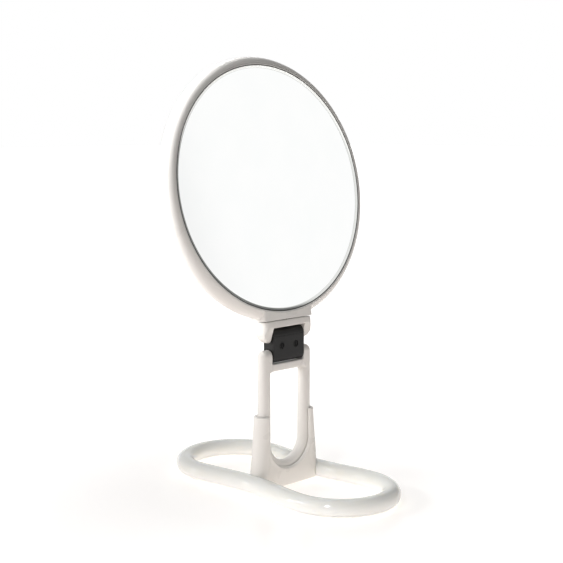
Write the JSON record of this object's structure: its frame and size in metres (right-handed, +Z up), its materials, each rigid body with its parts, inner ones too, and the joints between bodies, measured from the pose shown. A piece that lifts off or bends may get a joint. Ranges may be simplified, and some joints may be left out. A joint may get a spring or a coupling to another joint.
{
  "type": "magnifying makeup mirror",
  "caption": "Double-sided round magnifying makeup mirror on a two-pivot friction link, with a loop handle that lifts out of a cradle on an open base ring.",
  "frame": {"origin": "on the table, under the middle of the base ring's bounding box", "axes": "+X across the mirror, -Y towards the magnifying face, +Z up"},
  "size_m": [0.162, 0.167, 0.2636],
  "materials": {
    "shell": "satin gloss, warm white",
    "trim": "satin, pale grey",
    "mirror": "polished, silvered on the back",
    "carrier": "moulded, matt",
    "foam": "soft, matt",
    "steel": "zinc plated",
    "dark_steel": "blackened",
    "brass": "turned",
    "black": "fine grain, matt",
    "rubber": "clear, soft, matt"
  },
  "bodies": {
    "stand": {"base_ring": "shell", "base_bottom_cover": "shell", "cradle": "shell", "cradle_screws": "steel", "base_screws": "steel", "rubber_feet": "rubber"},
    "handle": {"handle_loop": "shell", "lower_hinge_pin": "steel"},
    "link": {"link_front": "black", "link_rear": "black", "link_screws": "dark_steel", "lower_friction_sleeve": "foam", "upper_friction_sleeve": "foam"},
    "fork": {"head_fork": "shell", "upper_hinge_pin": "steel", "swivel_bush": "carrier"},
    "head": {"frame_front": "shell", "frame_rear": "shell", "front_trim_ring": "trim", "rear_trim_ring": "trim", "magnifying_mirror": "mirror", "plain_mirror": "mirror", "mirror_carrier": "carrier", "front_foam_ring": "foam", "rear_foam_ring": "foam", "neck_screws": "steel", "swivel_pin": "brass", "swivel_washer": "steel", "swivel_screw": "steel"}
  },
  "joints": [
    {"name": "handle_lift", "type": "slide", "parent": "stand", "child": "handle", "axis": [0, 0, 1], "range_m": [0, 0.045]},
    {"name": "lower_hinge", "type": "hinge", "parent": "handle", "child": "link", "pos_m": [0, 0, 0.0833], "axis": [1, 0, 0], "range_deg": [-42, 42]},
    {"name": "upper_hinge", "type": "hinge", "parent": "link", "child": "fork", "pos_m": [0, 0, 0.0956], "axis": [1, 0, 0], "range_deg": [-35.26, 54.74]},
    {"name": "head_swivel", "type": "hinge", "parent": "fork", "child": "head", "pos_m": [0, 0, 0.0956], "axis": [0, 0.1692, 0.9856], "continuous": true}
  ]
}
